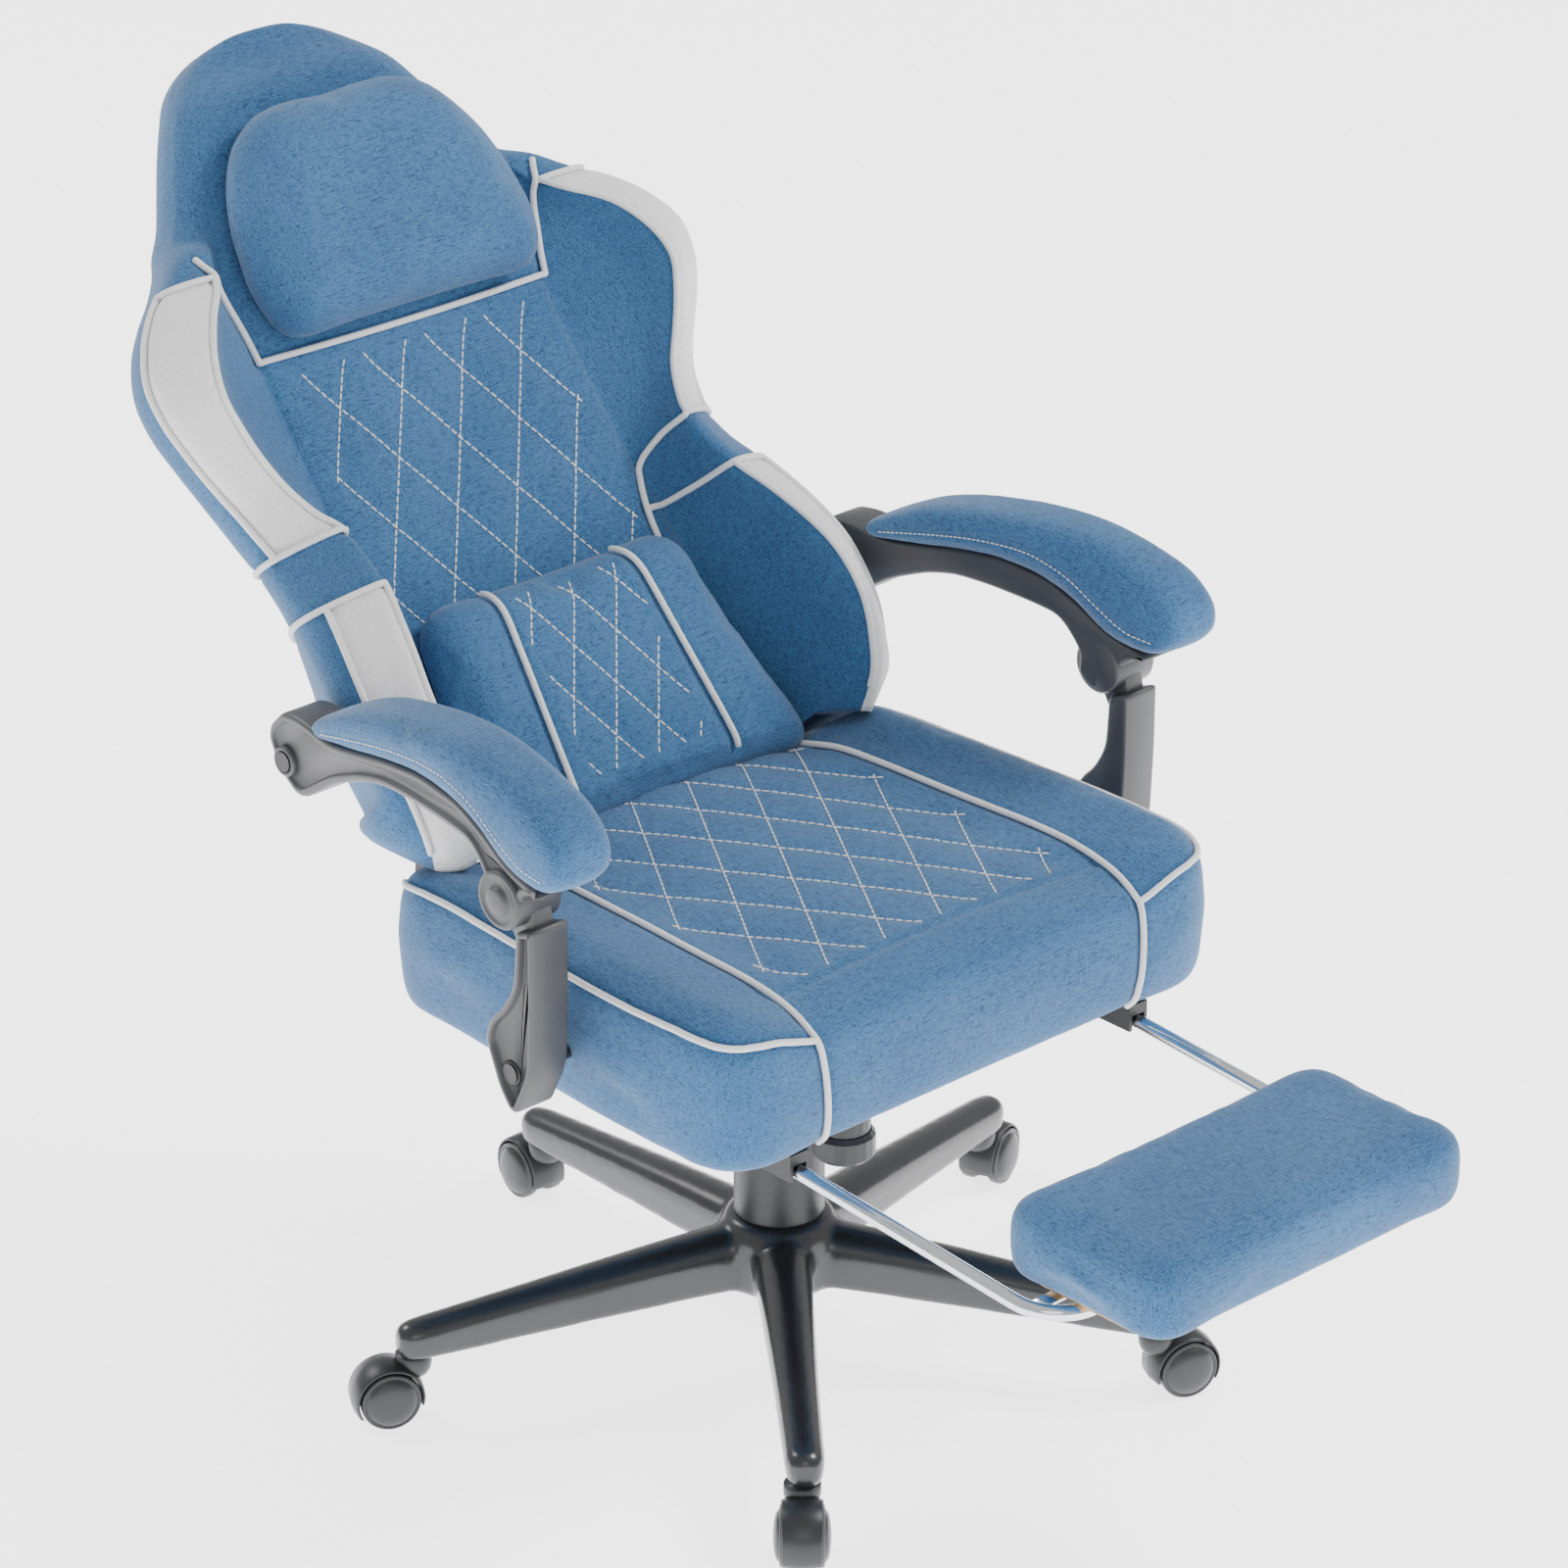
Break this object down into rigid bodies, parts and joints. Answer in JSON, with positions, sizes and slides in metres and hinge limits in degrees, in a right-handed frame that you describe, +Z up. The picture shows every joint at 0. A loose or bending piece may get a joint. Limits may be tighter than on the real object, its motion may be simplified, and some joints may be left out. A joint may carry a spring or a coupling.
{
  "type": "gaming chair",
  "caption": "Reclining upholstered chair with bolstered back, head and lumbar pillows, linked armrests, pull-out footrest, gas lift and a castor base.",
  "frame": {"origin": "on the floor, under the middle of the chair's footprint as it stands reclined with the footrest out", "axes": "+Z up, the sitter faces -Y, +X is the sitter's left; the swivel axis is 42 mm in front of the origin"},
  "size_m": [0.6879, 1.2296, 0.9566],
  "materials": {
    "arm_plastic": "satin dark grey, finely textured",
    "base_paint": "semi-gloss black",
    "black_metal": "matt black powder coat",
    "black_plastic": "fine satin black",
    "blue_fabric": "heathered linen-look weave",
    "castor_plastic": "fine satin black",
    "chrome": "polished",
    "plywood": "unvarnished plywood",
    "steel": "brushed"
  },
  "bodies": {
    "base": {"base_hub": "base_paint", "base_leg_1": "base_paint", "base_leg_2": "base_paint", "base_leg_3": "base_paint", "base_leg_4": "base_paint", "base_leg_5": "base_paint", "lift_cylinder": "steel", "lift_cover_lower": "black_plastic"},
    "castor_1": {"castor_hood_1": "castor_plastic"},
    "wheels_1": {"castor_wheels_1": "castor_plastic"},
    "castor_2": {"castor_hood_2": "castor_plastic"},
    "wheels_2": {"castor_wheels_2": "castor_plastic"},
    "castor_3": {"castor_hood_3": "castor_plastic"},
    "wheels_3": {"castor_wheels_3": "castor_plastic"},
    "castor_4": {"castor_hood_4": "castor_plastic"},
    "wheels_4": {"castor_wheels_4": "castor_plastic"},
    "castor_5": {"castor_hood_5": "castor_plastic"},
    "wheels_5": {"castor_wheels_5": "castor_plastic"},
    "lift": {"lift_piston": "chrome", "lift_cover_upper": "black_plastic"},
    "mechanism": {"tilt_housing": "black_metal", "tilt_pin": "steel", "spring_barrel": "black_plastic"},
    "tension_knob": {"tension_knob": "black_plastic"},
    "height_lever": {"height_lever": "black_plastic"},
    "seat": {"seat_cushion": "blue_fabric", "seat_board": "plywood", "tilt_plate": "black_metal", "footrest_rail_left": "black_metal", "footrest_rail_right": "black_metal", "recline_bracket_left": "black_metal", "recline_bracket_right": "black_metal", "recline_pin_left": "steel", "recline_pin_right": "steel", "arm_foot_bolt_left": "black_plastic", "arm_foot_bolt_right": "black_plastic"},
    "footrest": {"footrest_frame": "chrome"},
    "footrest_pad": {"footrest_board": "plywood", "footrest_pad": "blue_fabric"},
    "recline_lever": {"recline_lever": "black_plastic"},
    "back": {"back_core": "blue_fabric", "back_frame": "black_metal", "head_pillow": "blue_fabric", "hip_wing_left": "blue_fabric", "hip_wing_right": "blue_fabric", "shoulder_wing_left": "blue_fabric", "shoulder_wing_right": "blue_fabric", "arm_rear_bolt_left": "black_plastic", "arm_rear_bolt_right": "black_plastic"},
    "lumbar": {"lumbar_pillow": "blue_fabric"},
    "arm_upright_left": {"arm_upright_left": "arm_plastic"},
    "arm_left": {"arm_beam_left": "arm_plastic", "arm_pad_left": "blue_fabric", "arm_elbow_pin_left": "black_plastic"},
    "arm_upright_right": {"arm_upright_right": "arm_plastic"},
    "arm_right": {"arm_beam_right": "arm_plastic", "arm_pad_right": "blue_fabric", "arm_elbow_pin_right": "black_plastic"}
  },
  "joints": [
    {"name": "castor_1_swivel", "type": "hinge", "parent": "base", "child": "castor_1", "pos_m": [0.29529, 0.03437, 0.05], "axis": [0, 0, 1], "continuous": true},
    {"name": "castor_1_roll", "type": "hinge", "parent": "castor_1", "child": "wheels_1", "pos_m": [0.31596, 0.04189, 0.024], "axis": [-0.342, 0.9397, 0], "continuous": true},
    {"name": "castor_2_swivel", "type": "hinge", "parent": "base", "child": "castor_2", "pos_m": [0.01862, 0.26243, 0.05], "axis": [0, 0, 1], "continuous": true},
    {"name": "castor_2_roll", "type": "hinge", "parent": "castor_2", "child": "wheels_2", "pos_m": [0.02092, 0.28431, 0.024], "axis": [-0.9945, 0.1045, 0], "continuous": true},
    {"name": "castor_3_swivel", "type": "hinge", "parent": "base", "child": "castor_3", "pos_m": [-0.28378, 0.06978, 0.05], "axis": [0, 0, 1], "continuous": true},
    {"name": "castor_3_roll", "type": "hinge", "parent": "castor_3", "child": "wheels_3", "pos_m": [-0.30372, 0.07908, 0.024], "axis": [-0.4226, -0.9063, 0], "continuous": true},
    {"name": "castor_4_swivel", "type": "hinge", "parent": "base", "child": "castor_4", "pos_m": [-0.194, -0.27735, 0.05], "axis": [0, 0, 1], "continuous": true},
    {"name": "castor_4_roll", "type": "hinge", "parent": "castor_4", "child": "wheels_4", "pos_m": [-0.20901, -0.29344, 0.024], "axis": [0.7314, -0.682, 0], "continuous": true},
    {"name": "castor_5_swivel", "type": "hinge", "parent": "base", "child": "castor_5", "pos_m": [0.16388, -0.29923, 0.05], "axis": [0, 0, 1], "continuous": true},
    {"name": "castor_5_roll", "type": "hinge", "parent": "castor_5", "child": "wheels_5", "pos_m": [0.18455, -0.30676, 0.024], "axis": [0.342, 0.9397, 0], "continuous": true},
    {"name": "lift", "type": "slide", "parent": "base", "child": "lift", "axis": [0, 0, 1], "range_m": [0, 0.08]},
    {"name": "seat_swivel", "type": "hinge", "parent": "lift", "child": "mechanism", "pos_m": [0, -0.042, 0.28], "axis": [0, 0, 1], "continuous": true},
    {"name": "tension_turn", "type": "hinge", "parent": "mechanism", "child": "tension_knob", "pos_m": [0, -0.116, 0.21], "axis": [0, 0, 1], "continuous": true},
    {"name": "height_lever_lift", "type": "hinge", "parent": "mechanism", "child": "height_lever", "pos_m": [0.05, -0.042, 0.271], "axis": [0, -1, 0], "range_deg": [0, 5], "stiffness_Nm_per_rad": 4, "springref_deg": -5.73},
    {"name": "seat_tilt", "type": "hinge", "parent": "mechanism", "child": "seat", "pos_m": [0, 0.018, 0.276], "axis": [-1, 0, 0], "range_deg": [0, 12], "stiffness_Nm_per_rad": 150, "springref_deg": -20.05},
    {"name": "footrest_slide", "type": "slide", "parent": "seat", "child": "footrest", "axis": [0, 1, 0], "range_m": [0, 0.14]},
    {"name": "footrest_flip", "type": "hinge", "parent": "footrest", "child": "footrest_pad", "pos_m": [0, -0.522, 0.289], "axis": [1, 0, 0], "range_deg": [0, 180]},
    {"name": "recline_release", "type": "hinge", "parent": "seat", "child": "recline_lever", "pos_m": [0.26, 0.181, 0.386], "axis": [-1, 0, 0], "range_deg": [0, 20], "stiffness_Nm_per_rad": 0.5, "springref_deg": -11.46},
    {"name": "recline", "type": "hinge", "parent": "seat", "child": "back", "pos_m": [0, 0.181, 0.386], "axis": [-1, 0, 0], "range_deg": [-30, 15]},
    {"name": "lumbar_shift", "type": "slide", "parent": "back", "child": "lumbar", "axis": [0, 0.6293, 0.7771], "range_m": [-0.023, 0.046]},
    {"name": "arm_foot_left", "type": "hinge", "parent": "seat", "child": "arm_upright_left", "pos_m": [0.306, -0.098, 0.378], "axis": [-1, 0, 0], "range_deg": [-30, 15]},
    {"name": "arm_elbow_left", "type": "hinge", "parent": "arm_upright_left", "child": "arm_left", "pos_m": [0.306, -0.098, 0.522], "axis": [-1, 0, 0], "range_deg": [-15, 30]},
    {"name": "arm_foot_right", "type": "hinge", "parent": "seat", "child": "arm_upright_right", "pos_m": [-0.306, -0.098, 0.378], "axis": [-1, 0, 0], "range_deg": [-30, 15]},
    {"name": "arm_elbow_right", "type": "hinge", "parent": "arm_upright_right", "child": "arm_right", "pos_m": [-0.306, -0.098, 0.522], "axis": [-1, 0, 0], "range_deg": [-15, 30]}
  ],
  "couplings": [
    {"joint": "lumbar_shift", "follows": "recline", "m_per_rad": -0.086},
    {"joint": "arm_foot_left", "follows": "recline", "ratio": 1},
    {"joint": "arm_elbow_left", "follows": "recline", "ratio": -1},
    {"joint": "arm_foot_right", "follows": "recline", "ratio": 1},
    {"joint": "arm_elbow_right", "follows": "recline", "ratio": -1}
  ]
}
